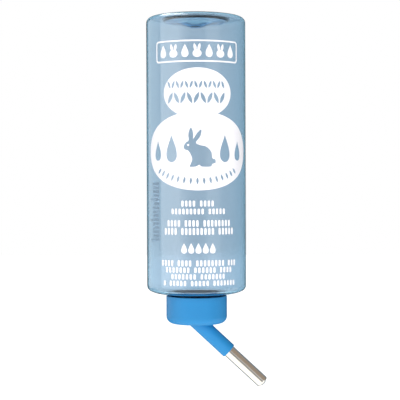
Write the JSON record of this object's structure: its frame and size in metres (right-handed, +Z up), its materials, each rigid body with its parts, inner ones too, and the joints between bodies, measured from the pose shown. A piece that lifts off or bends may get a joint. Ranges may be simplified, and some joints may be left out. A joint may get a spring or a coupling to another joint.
{
  "type": "small animal water bottle",
  "caption": "Hanging drinking bottle for small animals: clear tinted body, screw cap with a slanting socket, and a steel spout closed by captive balls.",
  "frame": {"origin": "on the bottle's axis, halfway along the straight wall that a holder grips", "axes": "+Z up along the bottle's axis as it hangs, towards its base; +X towards the side the spout points to"},
  "size_m": [0.0802, 0.0665, 0.248],
  "materials": {
    "tinted_plastic": "clear tinted, glossy",
    "blue_plastic": "moulded, satin",
    "washer_rubber": "soft white",
    "stainless_tube": "polished stainless steel",
    "white_ink": "screen-printed ink",
    "stainless_ball": "polished stainless steel"
  },
  "bodies": {
    "bottle": {"bottle": "tinted_plastic"},
    "washer": {"cap_washer": "washer_rubber"},
    "cap": {"screw_cap": "blue_plastic", "spout_tube": "stainless_tube"},
    "tip_ball": {"tip_ball": "stainless_ball"},
    "upper_ball": {"upper_ball": "stainless_ball"}
  },
  "joints": [
    {"name": "cap_travel", "type": "slide", "parent": "bottle", "child": "washer", "axis": [0, 0, -1], "range_m": [0, 0.00525]},
    {"name": "cap_turn", "type": "hinge", "parent": "washer", "child": "cap", "pos_m": [0, 0, -0.1], "axis": [0, 0, -1], "range_deg": [0, 450]},
    {"name": "tip_ball_lift", "type": "slide", "parent": "cap", "child": "tip_ball", "axis": [-0.7314, 0, 0.682], "range_m": [0, 0.0434]},
    {"name": "upper_ball_lift", "type": "slide", "parent": "cap", "child": "upper_ball", "axis": [-0.7314, 0, 0.682], "range_m": [0, 0.0434]}
  ],
  "couplings": [
    {"joint": "cap_travel", "follows": "cap_turn", "m_per_rad": 0.00066845},
    {"joint": "upper_ball_lift", "follows": "tip_ball_lift", "ratio": 1}
  ]
}
